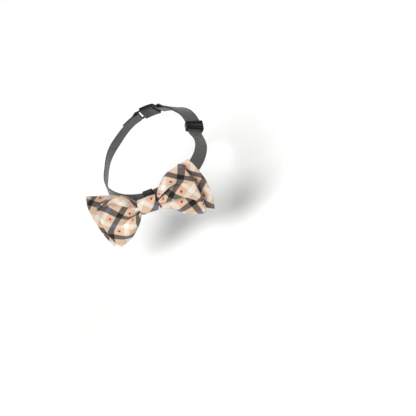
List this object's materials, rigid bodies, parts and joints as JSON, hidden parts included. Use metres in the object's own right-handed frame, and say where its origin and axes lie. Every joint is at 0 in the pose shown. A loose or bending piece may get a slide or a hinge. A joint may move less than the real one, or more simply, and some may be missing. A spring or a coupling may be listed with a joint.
{
  "type": "pet bow tie on a neck strap",
  "caption": "Double-layer cloth bow tie for a pet, on a webbing neck strap with a plastic slider and a clasp at the nape.",
  "frame": {"origin": "middle of the neck hollow, level with the strap behind the knot", "axes": "+Z runs along the neck towards the head, the bow faces -Y, and +X runs across the bow to the viewer's right"},
  "size_m": [0.1238, 0.1616, 0.0693],
  "materials": {
    "checked_cloth": "woven cotton with a bias check in sand, cream and charcoal",
    "strap_webbing": "flat woven webbing, charcoal grey with a slight sheen",
    "keeper_elastic": "plain black woven elastic",
    "moulded_plastic": "moulded black plastic, satin"
  },
  "bodies": {
    "root": {"front_bow": "checked_cloth", "back_bow": "checked_cloth", "knot_band": "checked_cloth", "neck_strap": "strap_webbing", "strap_keeper": "keeper_elastic", "slider": "moulded_plastic", "clasp": "moulded_plastic"}
  },
  "joints": []
}
